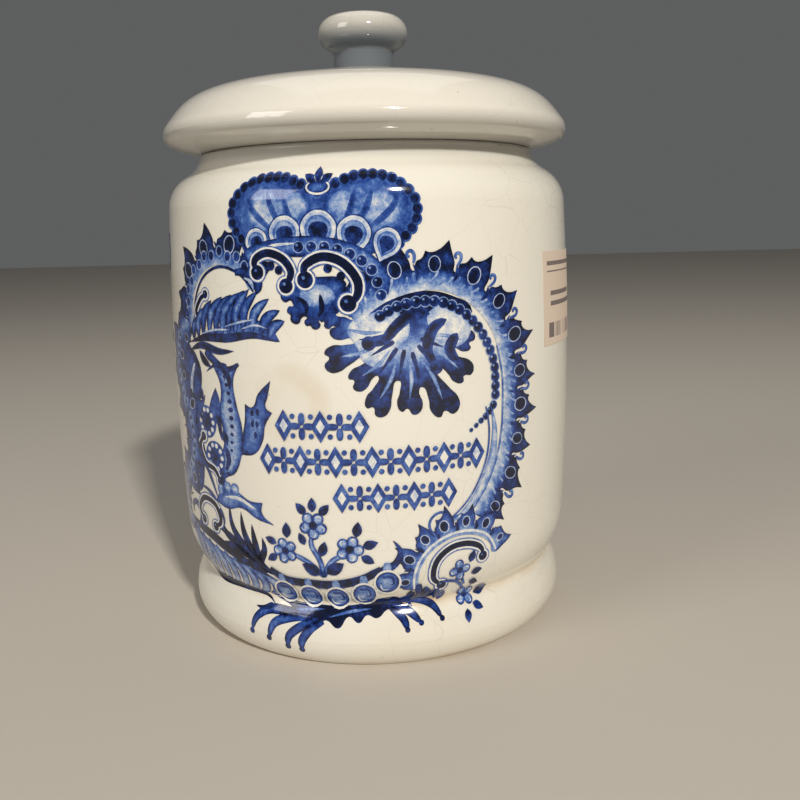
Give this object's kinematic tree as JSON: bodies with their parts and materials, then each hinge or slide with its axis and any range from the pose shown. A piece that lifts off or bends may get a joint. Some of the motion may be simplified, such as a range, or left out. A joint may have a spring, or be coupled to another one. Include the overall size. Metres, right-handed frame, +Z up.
{
  "type": "apothecary jar",
  "caption": "Straight-sided glazed earthenware storage jar with a flared foot, short neck, domed lift-off lid with a mushroom knob, and a paper price label.",
  "frame": {"origin": "centre of the ring that the foot stands on, at the jar's lowest plane", "axes": "+Z up along the jar's axis of revolution; the painted front faces -Y and +X is to its right"},
  "size_m": [0.1643, 0.1642, 0.2423],
  "materials": {
    "jar_glaze": "glossy cream glaze with cobalt painting under it",
    "lid_glaze": "glossy cream glaze",
    "label_paper": "matt self-adhesive paper"
  },
  "bodies": {
    "jar": {"jar_body": "jar_glaze", "price_label": "label_paper"},
    "lid": {"lid": "lid_glaze", "lid_knob": "lid_glaze"}
  },
  "joints": [
    {"name": "lid_lift", "type": "slide", "parent": "jar", "child": "lid", "axis": [0, 0, 1], "range_m": [0, 0.12]}
  ]
}
